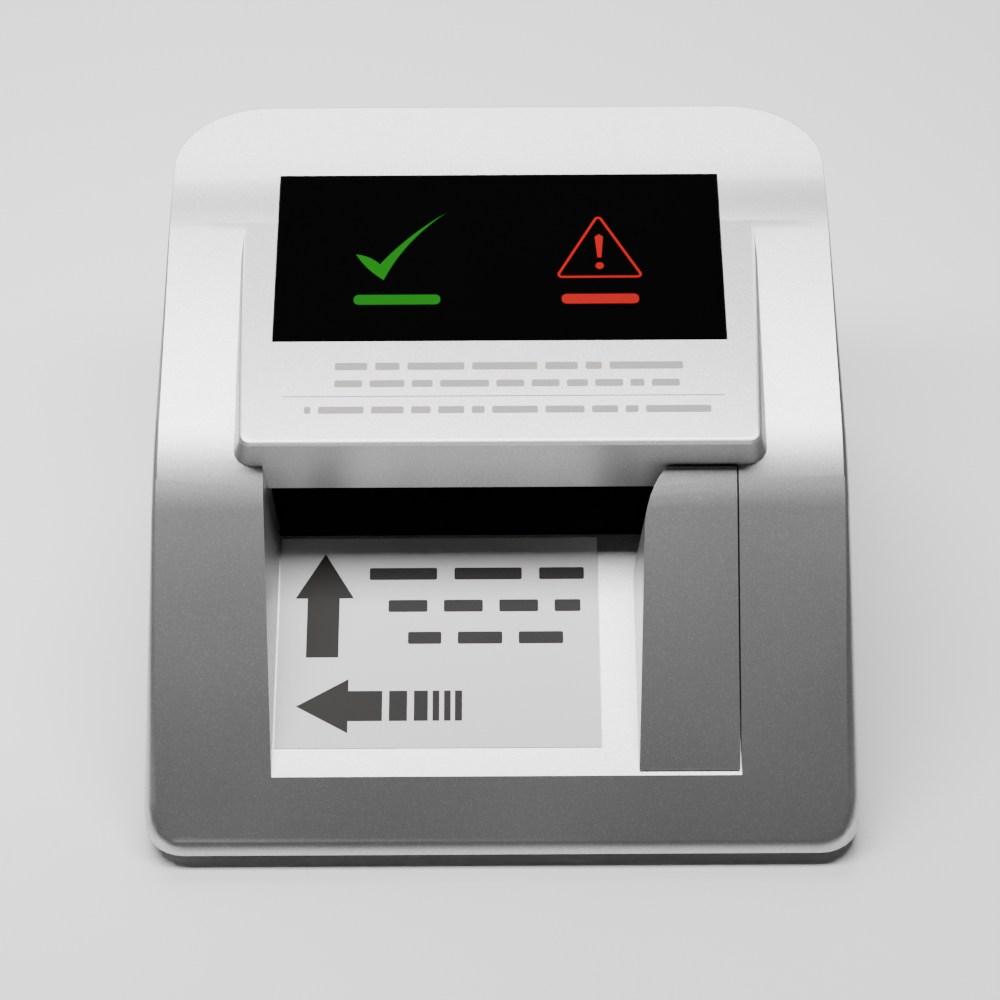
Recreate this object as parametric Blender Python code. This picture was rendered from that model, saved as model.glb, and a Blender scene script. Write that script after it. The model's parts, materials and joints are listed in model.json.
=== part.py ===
"""Counterfeit bill detector: a desk unit that draws a note through and shows pass or fail.

X runs to the right, Y to the back and Z up. The origin is on the table, under the middle.
The note enters the tray from the front, passes between two guide plates and leaves at the back.
"""
import math

import bmesh
import bpy
from mathutils import Matrix, Vector

MM = 0.001

# Overall form
BASE_WIDTH = 136.8 * MM         # across the cover's lower edge
BASE_DEPTH = 141.0 * MM         # front to back at the cover's lower edge
BODY_HEIGHT = 75.0 * MM         # table to the highest point of the cover
COVER_FOOT = 3.0 * MM           # table to the cover's lower edge
ROOF_IN = 2.7 * MM              # the sloping roof's edge, in from the foot on each side
SIDE_DRAFT = math.radians(2.0)
REAR_DRAFT = math.radians(1.0)
FRONT_CORNER = 8.0 * MM
REAR_CORNER = 21.0 * MM
ROOF_FRONT_IN = 2.1 * MM        # the front lip, from the foot to the roof's edge
ROOF_REAR_IN = 2.2 * MM
NOSE_HEIGHT = 6.2 * MM          # the roof's height at the front lip
WALL = 2.2 * MM                 # plastic thickness of the cover

# The roof's side outline: a steep front, a middle run and a nearly level back
FRONT_SLOPE = math.radians(41.6)
MIDDLE_SLOPE = math.radians(20.0)
BACK_SLOPE = math.radians(1.2)
FRONT_RUN = 53.4 * MM           # level length of the steep front
FRONT_BEND = 50.0 * MM
BACK_BEND = 60.0 * MM

# The raised head that carries the display
HEAD_TILT = math.radians(12.8)
HEAD_FRONT_Y = -16.9 * MM
HEAD_FRONT_Z = 59.94 * MM
HEAD_WIDTH = 102.4 * MM         # across its foot on the roof
HEAD_DRAFT = math.radians(12.5)
HEAD_DROP = 15.6 * MM           # height of its front wall in the tray
HEAD_FLUSH = 57.0 * MM          # along the slope to where it runs out into the roof
HEAD_LENGTH = 70.0 * MM
HEAD_DIP = 0.075                # how fast its hidden tail sinks under the roof
HEAD_CORNER = 2.0 * MM
HEAD_EDGE = 1.0 * MM

# Display window
WINDOW_WIDTH = 88.1 * MM
WINDOW_LENGTH = 41.1 * MM
WINDOW_START = 23.8 * MM        # along the head from its front edge
WINDOW_THICK = 1.2 * MM
WINDOW_SINK = 0.3 * MM
WINDOW_LEDGE = 3.0 * MM

# Bill tray and note path
TRAY_LEFT_X = -43.8 * MM         # foot of the left wall
TRAY_DRAFT = math.radians(4.0)
PATH_TILT = math.radians(17.3)
PATH_START_Y = -11.6 * MM
PATH_START_Z = 28.7 * MM
TRAY_FRONT_Y = -60.4 * MM
TRAY_FLOOR = 2.2 * MM
MOUTH_DEPTH = 4.6 * MM          # the tray's recess runs on under the head
FLOOR_REST = 0.6 * MM           # the tray's floor behind the label
NOTE_GAP = 1.8 * MM             # between the two guide plates

# Width guide: a clip-in block that fills the tray's right side
GUIDE_LEFT_X = 26.1 * MM         # at its foot on the tray's floor
GUIDE_WALL = 1.8 * MM
GUIDE_FRONT_GAP = 1.3 * MM
POCKET_RIGHT_X = 45.6 * MM       # upright wall on the tray's right, beside the guide
GUIDE_BEND = 17.0 * MM
GUIDE_BEND_LENGTH = 11.0 * MM
GUIDE_REST_Z = 52.0 * MM        # height at which the block's plan outline is set out

# Clearances
SEAT = 0.3 * MM                 # between fixed pieces that touch
RUN = 0.15 * MM                 # radial, between a turning piece and its bearing
SHADOW = 0.4 * MM               # visible joint line round a fitted piece

# Base
BASE_FLOOR_Z = 1.6 * MM
BASE_THICK = 1.8 * MM
RIM_HEIGHT = 6.0 * MM
RIM_THICK = 1.8 * MM
PANEL_LEFT = -44.0 * MM
PANEL_RIGHT = 52.0 * MM
PANEL_TOP = 28.0 * MM
FOOT_RADIUS = 6.0 * MM
FOOT_HEIGHT = 2.2 * MM
POST_IN = 8.9 * MM              # screw posts, in from the cover's sides and front
POST_FRONT_IN = 22.5 * MM
POST_REAR_Y = 38.0 * MM         # just in front of the encoder
FOOT_IN = 18.4 * MM             # rubber feet, likewise
FOOT_FRONT_IN = 12.5 * MM
FOOT_REAR_IN = 13.5 * MM
POST_RADIUS = 3.8 * MM
SCREW_RADIUS = 1.5 * MM

# Note transport
FRAME_LEFT = -48.3 * MM         # inner faces of the side frames
FRAME_RIGHT = 31.0 * MM
FRAME_THICK = 2.2 * MM
PLATE_THICK = 1.8 * MM
FRONT_DRIVE_AT = 26.0 * MM      # along the path from its start
REAR_DRIVE_AT = 64.0 * MM
SHAFT_RADIUS = 3.0 * MM
ROLLER_RADIUS = 7.0 * MM
ROLLER_LENGTH = 12.0 * MM
ROLLER_PROUD = 0.7 * MM         # above the lower plate
ROLLER_LEFT_X = -24.0 * MM
ROLLER_RIGHT_X = 6.0 * MM
IDLER_RADIUS = 5.0 * MM
IDLER_AXLE = 1.8 * MM
GEAR_MODULE = 0.8 * MM
GEAR_TEETH = 43
PINION_TEETH = 12
GEAR_X = 35.2 * MM
GEAR_THICK = 4.0 * MM
PULLEY_RADIUS = 7.7 * MM
BELT_THICK = 1.2 * MM
BELT_WIDTH = 4.0 * MM
MOTOR_RADIUS = 12.0 * MM
MOTOR_LENGTH = 30.0 * MM
MOTOR_ANGLE = math.radians(-31.0)   # of the motor from the front shaft, seen from the right
ENCODER_RADIUS = 12.0 * MM


for old in list(bpy.data.objects):
    bpy.data.objects.remove(old, do_unlink=True)


# ---------------------------------------------------------------- helpers

def finish_of(name, colour, roughness, metallic=0.0):
    """A plain Principled material."""
    made = bpy.data.materials.new(name)
    made.use_nodes = True
    shader = made.node_tree.nodes["Principled BSDF"]
    shader.inputs["Base Color"].default_value = (*colour, 1.0)
    shader.inputs["Roughness"].default_value = roughness
    shader.inputs["Metallic"].default_value = metallic
    return made


def node_from(name, shape, finish, origin=(0, 0, 0)):
    """Puts a bmesh into the scene as one named sub-part, its origin on its own axis."""
    bmesh.ops.remove_doubles(shape, verts=shape.verts, dist=1e-7)
    bmesh.ops.recalc_face_normals(shape, faces=shape.faces)
    bmesh.ops.translate(shape, verts=shape.verts, vec=-Vector(origin))
    mesh = bpy.data.meshes.new(name)
    shape.to_mesh(mesh)
    shape.free()
    mesh.shade_smooth()
    mesh.set_sharp_from_angle(angle=math.radians(35))
    mesh.materials.append(finish)
    made = bpy.data.objects.new(name, mesh)
    made.location = origin
    bpy.context.scene.collection.objects.link(made)
    return made


def combine(target, shape, operation):
    """Applies an exact Boolean with a bmesh, given in world coordinates, to a sub-part."""
    bpy.context.view_layer.update()
    tool = node_from("tool", shape, target.data.materials[0])
    step = target.modifiers.new("step", "BOOLEAN")
    step.operation = operation
    step.solver = "EXACT"
    step.object = tool
    graph = bpy.context.evaluated_depsgraph_get()
    result = bpy.data.meshes.new_from_object(target.evaluated_get(graph), depsgraph=graph)
    target.modifiers.remove(step)
    old = target.data
    target.data = result
    result.name = target.name
    bpy.data.meshes.remove(old)
    bpy.data.objects.remove(tool, do_unlink=True)


def cut(target, *shapes):
    for shape in shapes:
        combine(target, shape, "DIFFERENCE")


def join(target, *shapes):
    for shape in shapes:
        combine(target, shape, "UNION")


def prism(outline, low, high, axis="X"):
    """A flat outline extruded along one axis: (y, z) along X, (x, z) along Y, (x, y) along Z."""
    places = {
        "X": lambda a, b, c: (c, a, b),
        "Y": lambda a, b, c: (a, c, b),
        "Z": lambda a, b, c: (a, b, c),
    }[axis]
    shape = bmesh.new()
    face = shape.faces.new([shape.verts.new(places(a, b, low)) for a, b in outline])
    pulled = bmesh.ops.extrude_face_region(shape, geom=[face])
    verts = [item for item in pulled["geom"] if isinstance(item, bmesh.types.BMVert)]
    bmesh.ops.translate(shape, verts=verts, vec=Vector(places(0, 0, high - low)))
    return shape


def block(x0, x1, y0, y1, z0, z1):
    return prism([(y0, z0), (y1, z0), (y1, z1), (y0, z1)], x0, x1)


def turned(profile, sides, centre=(0, 0, 0), axis="X"):
    """A profile of (along, radius) points turned about an axis through the centre."""
    shape = bmesh.new()
    verts = [shape.verts.new((along, 0, radius)) for along, radius in profile]
    edges = [shape.edges.new(pair) for pair in zip(verts, verts[1:])]
    bmesh.ops.spin(shape, geom=verts + edges, cent=(0, 0, 0), axis=(1, 0, 0),
                   angle=math.tau, steps=sides, use_merge=True)
    bmesh.ops.remove_doubles(shape, verts=shape.verts, dist=1e-7)
    if axis == "Z":
        bmesh.ops.rotate(shape, verts=shape.verts, matrix=Matrix.Rotation(-math.pi / 2, 3, "Y"))
    if axis == "Y":
        bmesh.ops.rotate(shape, verts=shape.verts, matrix=Matrix.Rotation(math.pi / 2, 3, "Z"))
    bmesh.ops.translate(shape, verts=shape.verts, vec=Vector(centre))
    return shape


def rod(low, high, radius, centre, axis="X", sides=32):
    return turned([(low, 0), (low, radius), (high, radius), (high, 0)], sides, centre, axis)


def ring(low, high, inner, outer, centre, axis="X", sides=32):
    profile = [(low, inner), (low, outer), (high, outer), (high, inner), (low, inner)]
    return turned(profile, sides, centre, axis)


def loft(rings):
    """Bridges rings of equal length into a closed solid whose end caps are strips from side to side.

    Each ring runs up the right side and back down the left, so its points pair up in mirror image.
    """
    shape = bmesh.new()
    rows = [[shape.verts.new(point) for point in one] for one in rings]
    count = len(rows[0])
    for low, high in zip(rows, rows[1:]):
        for i in range(count):
            j = (i + 1) % count
            shape.faces.new((low[i], low[j], high[j], high[i]))
    for row in (rows[0], rows[-1]):
        for i in range(count // 2 - 1):
            shape.faces.new((row[i], row[i + 1], row[count - 2 - i], row[count - 1 - i]))
    return shape


def mirrored(half):
    """Closes a right half, from front to back, with its mirror image."""
    return half + [(-x, y, z) for x, y, z in reversed(half)]


# ---------------------------------------------------------------- shared geometry

HALF_WIDTH = BASE_WIDTH / 2
FRONT_Y = -BASE_DEPTH / 2
REAR_Y = BASE_DEPTH / 2
POST_X = HALF_WIDTH - POST_IN
POST_FRONT_Y = FRONT_Y + POST_FRONT_IN
LIP_Y = FRONT_Y + ROOF_FRONT_IN

# Corners of the roof's side outline
BEND_1 = (LIP_Y + FRONT_RUN, NOSE_HEIGHT + FRONT_RUN * math.tan(FRONT_SLOPE))
BACK_Z = BODY_HEIGHT - REAR_Y * math.tan(BACK_SLOPE)      # the back run's height above y = 0
BEND_2_Y = ((BACK_Z - BEND_1[1] + BEND_1[0] * math.tan(MIDDLE_SLOPE))
            / (math.tan(MIDDLE_SLOPE) - math.tan(BACK_SLOPE)))
BEND_2 = (BEND_2_Y, BACK_Z + BEND_2_Y * math.tan(BACK_SLOPE))


def bend_arc(corner, steep, shallow, radius):
    """Centre and end stations of the arc that rounds one corner of the roof line."""
    reach = radius * math.tan((steep - shallow) / 2)
    start = (corner[0] - reach * math.cos(steep), corner[1] - reach * math.sin(steep))
    centre = (start[0] + radius * math.sin(steep), start[1] - radius * math.cos(steep))
    return centre, start[0], corner[0] + reach * math.cos(shallow)


ARC_1 = bend_arc(BEND_1, FRONT_SLOPE, MIDDLE_SLOPE, FRONT_BEND)
ARC_2 = bend_arc(BEND_2, MIDDLE_SLOPE, BACK_SLOPE, BACK_BEND)


def roof(y):
    """Height of the roof at a station, and the tangent of its slope there."""
    for (centre, start, end), radius in ((ARC_1, FRONT_BEND), (ARC_2, BACK_BEND)):
        if start <= y <= end:
            rise = math.sqrt(radius ** 2 - (y - centre[0]) ** 2)
            return centre[1] + rise, (centre[0] - y) / rise
    if y < ARC_1[1]:
        slope = math.tan(FRONT_SLOPE)
        return BEND_1[1] + (y - BEND_1[0]) * slope, slope
    if y < ARC_2[1]:
        slope = math.tan(MIDDLE_SLOPE)
        return BEND_1[1] + (y - BEND_1[0]) * slope, slope
    slope = math.tan(BACK_SLOPE)
    return BEND_2[1] + (y - BEND_2[0]) * slope, slope


def on_head(s, h):
    """(y, z) of a place s along the head's slope from its front edge and h above its plane."""
    return (HEAD_FRONT_Y + s * math.cos(HEAD_TILT) - h * math.sin(HEAD_TILT),
            HEAD_FRONT_Z + s * math.sin(HEAD_TILT) + h * math.cos(HEAD_TILT))


def on_path(u, v):
    """(y, z) of a place u along the note path from the tray's back edge and v above it."""
    return (PATH_START_Y + u * math.cos(PATH_TILT) - v * math.sin(PATH_TILT),
            PATH_START_Z + u * math.sin(PATH_TILT) + v * math.cos(PATH_TILT))


def floor_z(y):
    """Height of the tray's floor at a station."""
    return PATH_START_Z + (y - PATH_START_Y) * math.tan(PATH_TILT)


def path_box(x0, x1, u0, u1, v0, v1):
    return prism([on_path(u0, v0), on_path(u1, v0), on_path(u1, v1), on_path(u0, v1)], x0, x1)


def head_box(x0, x1, s0, s1, h0, h1):
    return prism([on_head(s0, h0), on_head(s1, h0), on_head(s1, h1), on_head(s0, h1)], x0, x1)


def arc_steps(count):
    return [i / count for i in range(count + 1)]


# ---------------------------------------------------------------- finishes

SILVER = finish_of("silver_paint", (0.62, 0.62, 0.63), 0.42, 0.55)
DARK = finish_of("dark_plastic", (0.035, 0.035, 0.04), 0.55)
BLACK = finish_of("black_plastic", (0.012, 0.012, 0.012), 0.5)
SMOKE = finish_of("smoked_acrylic", (0.004, 0.004, 0.004), 0.08)
CLEAR = finish_of("clear_acrylic", (0.75, 0.78, 0.8), 0.1)
WHITE = finish_of("white_plastic", (0.8, 0.8, 0.78), 0.4)
PAPER = finish_of("label_film", (0.66, 0.66, 0.65), 0.35)
BOARD = finish_of("circuit_board", (0.02, 0.16, 0.07), 0.45)
STEEL = finish_of("steel", (0.56, 0.57, 0.58), 0.3, 1.0)
RUBBER = finish_of("rubber", (0.03, 0.03, 0.03), 0.85)
NYLON = finish_of("nylon", (0.78, 0.76, 0.68), 0.45)
BRASS = finish_of("sintered_bronze", (0.5, 0.33, 0.14), 0.4, 1.0)


# ---------------------------------------------------------------- top cover

CORNER_STEPS = 7
REAR_STEPS = 12
ROOF_STEPS = 10


def plan_spots():
    """Spots up the body's right side: (front arc share, station, rear arc share), two of them None."""
    spots = [(t, None, None) for t in arc_steps(CORNER_STEPS)]
    first = LIP_Y + FRONT_CORNER
    last = REAR_Y - ROOF_REAR_IN - REAR_CORNER
    stations = []
    for centre, start, end in (ARC_1, ARC_2):
        stations += [start + t * (end - start) for t in arc_steps(ROOF_STEPS)]
    stations += [BEND_1[0] - FRONT_RUN / 2, (ARC_1[2] + ARC_2[1]) / 2]
    spots += [(None, y, None) for y in sorted(stations) if first + MM < y < last - MM]
    return spots + [(None, None, t) for t in arc_steps(REAR_STEPS)]


def plan_point(spot, side_in, front_in, rear_in):
    """(x, y) of a spot on the plan outline drawn in by three amounts."""
    front_share, station, rear_share = spot
    x = HALF_WIDTH - side_in
    if station is not None:
        return x, station
    if front_share is not None:
        radius = max(FRONT_CORNER - side_in, MM)
        angle = (front_share - 1) * math.pi / 2
        return x - radius + radius * math.cos(angle), FRONT_Y + front_in + radius + radius * math.sin(angle)
    radius = REAR_CORNER - side_in
    angle = rear_share * math.pi / 2
    return x - radius + radius * math.cos(angle), REAR_Y - rear_in - radius + radius * math.sin(angle)


def body_form(inset, foot_z):
    """The body's closed form, drawn in by a wall thickness, from its foot to the roof."""
    foot, side, edge_low, edge_high, top = [], [], [], [], []
    for spot in plan_spots():
        x_top, y_top = plan_point(spot, ROOF_IN + inset, ROOF_FRONT_IN + inset, ROOF_REAR_IN + inset)
        height, slope = roof(y_top)
        height -= inset * math.sqrt(1 + slope * slope)
        fall = height - COVER_FOOT - ROOF_IN
        drop = max(ROOF_IN - fall * math.tan(SIDE_DRAFT), 0.9 * MM)
        low = max(height - drop, foot_z + 0.4 * MM)
        rise = low - COVER_FOOT
        x_side, y_side = plan_point(spot, rise * math.tan(SIDE_DRAFT) + inset,
                                    max(rise, 0) * math.tan(SIDE_DRAFT) + inset,
                                    rise * math.tan(REAR_DRAFT) + inset)
        wall_top = Vector((x_side, y_side, low))
        roof_edge = Vector((x_top, y_top, height))
        corner = Vector((x_side, y_side, height))
        pull = (wall_top + roof_edge) / 2 * 0.5 + corner * 0.5
        rounded = [wall_top * (1 - t) ** 2 + pull * 2 * t * (1 - t) + roof_edge * t * t
                   for t in (1 / 3, 2 / 3)]
        foot.append((*plan_point(spot, inset, inset, inset), foot_z))
        side.append(tuple(wall_top))
        edge_low.append(tuple(rounded[0]))
        edge_high.append(tuple(rounded[1]))
        top.append(tuple(roof_edge))
    return loft([mirrored(one) for one in (foot, side, edge_low, edge_high, top)])


def head_form(inset, bottom_h):
    """The raised head's closed form, drawn in by a wall thickness."""
    rings = []
    edge = HEAD_EDGE if inset == 0 else 0.3 * MM
    top_h = -inset
    levels = [(bottom_h, 0.0), (top_h - edge, 0.0), (top_h - 0.293 * edge, 0.293 * edge), (top_h, edge)]
    for level, shrink in levels:
        half = []
        radius = HEAD_CORNER + max(-level, 0) * 0.15
        for spot in arc_steps(4) + [0.25, 0.45, 0.63, HEAD_FLUSH / HEAD_LENGTH, 1.0]:
            arc = len(half) < 5
            h = level
            s = inset + shrink + (radius * (1 - math.cos(spot * math.pi / 2)) if arc else spot * HEAD_LENGTH)
            if s > HEAD_FLUSH + MM and level > bottom_h:
                h -= (s - HEAD_FLUSH) * HEAD_DIP
            y, z = on_head(s, h)
            spread = (z - roof(y)[0]) * math.tan(HEAD_DRAFT)
            x = HEAD_WIDTH / 2 - spread - inset - shrink
            if arc:
                x -= radius * (1 - math.sin(spot * math.pi / 2))
            half.append((x, y, z))
        rings.append(mirrored(half))
    return loft(rings)


def tray_form(margin, back_y, top_z=90 * MM):
    """The tray's hollow: floor on the note path, a drafted left wall, an upright right one."""
    drop = margin / math.cos(PATH_TILT)
    front_y = TRAY_FRONT_Y - 6 * MM if margin else TRAY_FRONT_Y
    outline = [(front_y, floor_z(front_y) - drop), (back_y, floor_z(back_y) - drop),
               (back_y, top_z), (front_y, top_z)]
    shape = prism(outline, TRAY_LEFT_X - margin, POCKET_RIGHT_X + margin)
    for vert in shape.verts:
        if vert.co.x < 0:
            vert.co.x -= (vert.co.z - floor_z(vert.co.y)) * math.tan(TRAY_DRAFT)
    return shape


cover = node_from("top_cover", body_form(0, COVER_FOOT), SILVER)
cut(cover, tray_form(0, PATH_START_Y + MOUTH_DEPTH))
join(cover, head_form(0, -HEAD_DROP))
hollow = node_from("hollow", body_form(WALL, COVER_FOOT - 2 * MM), SILVER)
cut(hollow, tray_form(TRAY_FLOOR, PATH_START_Y + FLOOR_REST))
join(hollow, head_form(WALL, -HEAD_DROP - 6 * MM))
inside = bmesh.new()
inside.from_mesh(hollow.data)
cut(cover, inside)
bpy.data.objects.remove(hollow, do_unlink=True)

# Window pocket with a ledge and an opening for the lamps' light
window_end = WINDOW_START + WINDOW_LENGTH
half_window = WINDOW_WIDTH / 2
pocket = WINDOW_SINK + WINDOW_THICK + 0.1 * MM
play = 0.15 * MM
cut(cover,
    head_box(-half_window - play, half_window + play, WINDOW_START - play, window_end + play,
             -pocket, 8 * MM),
    head_box(-half_window + WINDOW_LEDGE, half_window - WINDOW_LEDGE, WINDOW_START + WINDOW_LEDGE,
             window_end - WINDOW_LEDGE, -8 * MM, 8 * MM))

# Rear note exit, and the opening round the base's connector panel
EXIT_HEIGHT = 6.0 * MM
exit_y, exit_z = on_path((REAR_Y - PATH_START_Y) / math.cos(PATH_TILT), NOTE_GAP / 2)
cut(cover,
    block(-45 * MM, 28 * MM, REAR_Y - 8 * MM, REAR_Y + 8 * MM,
          exit_z - EXIT_HEIGHT / 2 - MM, exit_z + EXIT_HEIGHT / 2 - MM),
    block(PANEL_LEFT - 0.5 * MM, PANEL_RIGHT + 0.5 * MM, REAR_Y - 8 * MM, REAR_Y + 8 * MM,
          -MM, PANEL_TOP + 0.5 * MM))

# Screw posts under the roof
for side in (-1, 1):
    for post_y in (POST_FRONT_Y, POST_REAR_Y):
        spot = (side * POST_X, post_y, 0)
        top_z = roof(post_y)[0] - 1.6 * MM - POST_RADIUS * roof(post_y)[1]
        join(cover, rod(BASE_FLOOR_Z + BASE_THICK + SEAT, top_z, POST_RADIUS, spot, "Z", 20))
        cut(cover, rod(0, 14 * MM, SCREW_RADIUS + SEAT, spot, "Z", 16))

# Shallow recess for the tray's instruction label
LABEL_LEFT = -43.5 * MM
LABEL_RIGHT = 19.1 * MM
LABEL_LENGTH = 44.9 * MM
LABEL_THICK = 0.3 * MM
LABEL_RECESS = 0.4 * MM
cut(cover, path_box(LABEL_LEFT - play, LABEL_RIGHT + play, -LABEL_LENGTH - play, 0.2 * MM,
                    -LABEL_RECESS, 0.5 * MM))
node_from("tray_label", path_box(LABEL_LEFT, LABEL_RIGHT, -LABEL_LENGTH, 0,
                                 -LABEL_RECESS + 0.06 * MM, -LABEL_RECESS + 0.06 * MM + LABEL_THICK), PAPER)


# ---------------------------------------------------------------- width guide

def guide_form(inset, bottom):
    """The width guide's block in plan, extruded along the head's normal and trimmed by the roof."""
    left = GUIDE_LEFT_X + inset
    right = POCKET_RIGHT_X - SEAT - inset
    back_y = on_head(0, -HEAD_DROP / 2)[0] - SHADOW - inset
    # The block leans with the head's tilt, so its foot at the front starts further forward
    lean = math.tan(HEAD_TILT)
    front_y = TRAY_FRONT_Y + GUIDE_FRONT_GAP + inset + (roof(TRAY_FRONT_Y)[0] - GUIDE_REST_Z) * lean
    outline = [(left, front_y), (right, front_y), (right, back_y)]
    for t in reversed(arc_steps(6)):
        along = t * GUIDE_BEND_LENGTH
        outline.append((left + GUIDE_BEND - math.sqrt(GUIDE_BEND ** 2 - along ** 2),
                        back_y - GUIDE_BEND_LENGTH + along))
    shape = prism(outline, bottom, 90 * MM, "Z")
    for vert in shape.verts:
        vert.co.y -= (vert.co.z - GUIDE_REST_Z) * lean
        if vert.co.x < right - MM:
            vert.co.x += (vert.co.z - floor_z(vert.co.y)) * math.tan(TRAY_DRAFT)
    return shape


def roof_slab(inset):
    """Everything under the roof's surface, drawn in by a thickness: trims pieces flush with it."""
    bend = [ARC_1[1] + t * (ARC_1[2] - ARC_1[1]) for t in arc_steps(ROOF_STEPS)]
    stations = [-80 * MM, LIP_Y] + bend + [10 * MM]
    line = []
    for y in stations:
        height, slope = roof(y)
        line.append((y, height - inset * math.sqrt(1 + slope * slope)))
    return prism([(-80 * MM, -60 * MM)] + [(10 * MM, -60 * MM)] + line[::-1], 0, 60 * MM)


def tray_slab(lift):
    """Everything over the tray's floor, raised by a gap."""
    ends = [(y, floor_z(y) + lift) for y in (-80 * MM, 10 * MM)]
    return prism(ends + [(10 * MM, 95 * MM), (-80 * MM, 95 * MM)], 0, 60 * MM)


guide = node_from("width_guide", guide_form(0, 0), SILVER)
combine(guide, roof_slab(0), "INTERSECT")
combine(guide, tray_slab(SEAT), "INTERSECT")
guide_hollow = node_from("hollow", guide_form(GUIDE_WALL, -MM), SILVER)
combine(guide_hollow, roof_slab(GUIDE_WALL), "INTERSECT")
inside = bmesh.new()
inside.from_mesh(guide_hollow.data)
cut(guide, inside)
bpy.data.objects.remove(guide_hollow, do_unlink=True)


# ---------------------------------------------------------------- display

node_from("display_window", head_box(-half_window, half_window, WINDOW_START, window_end,
                                     -WINDOW_SINK - WINDOW_THICK, -WINDOW_SINK), SMOKE)

BOX_TOP = -2.7 * MM
BOX_BOTTOM = -9.0 * MM
box_start = WINDOW_START + 1.5 * MM
box_end = window_end - 2.5 * MM
lamp_middle = (box_start + box_end) / 2
light_box = node_from("display_light_box",
                      head_box(-42 * MM, 42 * MM, box_start, box_end, BOX_BOTTOM, BOX_TOP), WHITE)
PASS_X = -20.2 * MM
FAIL_X = 19.9 * MM
for lamp_x in (PASS_X, FAIL_X):
    cut(light_box, head_box(lamp_x - 14 * MM, lamp_x + 14 * MM, box_start + 3 * MM, box_end - 3 * MM,
                            BOX_BOTTOM - MM, BOX_TOP + MM))
display_board = node_from("display_board",
                          head_box(-43 * MM, 43 * MM, box_start - MM, box_end + MM,
                                   BOX_BOTTOM - SEAT - 1.6 * MM, BOX_BOTTOM - SEAT), BOARD)
for lamp_x in (PASS_X, FAIL_X):
    for step in (-1, 0, 1):
        lamp = lamp_x + step * 8 * MM
        join(display_board, head_box(lamp - 2.5 * MM, lamp + 2.5 * MM, lamp_middle - 2 * MM,
                                     lamp_middle + 2 * MM, BOX_BOTTOM - MM, BOX_BOTTOM + 2 * MM))


# ---------------------------------------------------------------- base

def base_ring(inset, z):
    half = [(*plan_point(spot, inset, inset, inset), z) for spot in plan_spots()]
    return mirrored(half)


RIM_IN = WALL + SEAT
floor_top = BASE_FLOOR_Z + BASE_THICK
rim_top = floor_top + RIM_HEIGHT
base = node_from("base_shell", loft([base_ring(RIM_IN, BASE_FLOOR_Z), base_ring(RIM_IN, rim_top)]), DARK)
cut(base, loft([base_ring(RIM_IN + RIM_THICK, floor_top), base_ring(RIM_IN + RIM_THICK, rim_top + MM)]))
# The rim stays low at the front, and the floor steps down under the nose of the cover
LOW_RIM = 18.5 * MM
NOSE_STEP = 4.9 * MM
cut(base,
    block(-HALF_WIDTH, HALF_WIDTH, FRONT_Y, FRONT_Y + LOW_RIM, floor_top + 0.6 * MM, 20 * MM),
    block(-HALF_WIDTH, HALF_WIDTH, FRONT_Y, FRONT_Y + NOSE_STEP, COVER_FOOT - SEAT, 20 * MM))
panel_outer = REAR_Y - RIM_IN
join(base, block(PANEL_LEFT, PANEL_RIGHT, panel_outer - RIM_THICK, panel_outer, BASE_FLOOR_Z, PANEL_TOP))
SWITCH_X = 36.0 * MM
SWITCH_Z = 17.0 * MM
JACK_X = -33.0 * MM
PORT_X = -16.0 * MM
CONNECTOR_Z = 16.6 * MM
cut(base,
    block(SWITCH_X - 9.6 * MM, SWITCH_X + 9.6 * MM, panel_outer - 4 * MM, panel_outer + MM,
          SWITCH_Z - 6.4 * MM, SWITCH_Z + 6.4 * MM),
    rod(panel_outer - 4 * MM, panel_outer + MM, 4.6 * MM, (JACK_X, 0, CONNECTOR_Z), "Y", 24),
    block(PORT_X - 4.6 * MM, PORT_X + 4.6 * MM, panel_outer - 4 * MM, panel_outer + MM,
          CONNECTOR_Z - 2.6 * MM, CONNECTOR_Z + 2.6 * MM))
for side in (-1, 1):
    for post_y in (POST_FRONT_Y, POST_REAR_Y):
        cut(base, rod(0, 6 * MM, SCREW_RADIUS + SEAT, (side * POST_X, post_y, 0), "Z", 16))

FOOT_X = HALF_WIDTH - FOOT_IN
FOOT_FRONT_Y = FRONT_Y + FOOT_FRONT_IN
FOOT_REAR_Y = REAR_Y - FOOT_REAR_IN
row_names = {-1: "left", 1: "right"}
for side in (-1, 1):
    for row, foot_y in (("front", FOOT_FRONT_Y), ("rear", FOOT_REAR_Y)):
        spot = (side * FOOT_X * (0.9 if row == "rear" else 1), foot_y, 0)
        cut(base, rod(0, FOOT_HEIGHT + 0.15 * MM, FOOT_RADIUS + 0.2 * MM, spot, "Z", 24))
        profile = [(0, 0), (0, FOOT_RADIUS - 0.8 * MM), (0.8 * MM, FOOT_RADIUS),
                   (FOOT_HEIGHT, FOOT_RADIUS), (FOOT_HEIGHT, 0)]
        node_from(f"foot_{row}_{row_names[side]}", turned(profile, 24, spot, "Z"), RUBBER)
    for row, post_y in (("front", POST_FRONT_Y), ("rear", POST_REAR_Y)):
        spot = (side * POST_X, post_y, 0)
        head_z = BASE_FLOOR_Z - 1.2 * MM
        profile = [(head_z, 0), (head_z, 2.6 * MM), (BASE_FLOOR_Z - 0.1 * MM, 3.0 * MM),
                   (BASE_FLOOR_Z - 0.1 * MM, SCREW_RADIUS), (12 * MM, SCREW_RADIUS), (13 * MM, 0)]
        node_from(f"case_screw_{row}_{row_names[side]}", turned(profile, 16, spot, "Z"), STEEL)


# ---------------------------------------------------------------- note path

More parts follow.
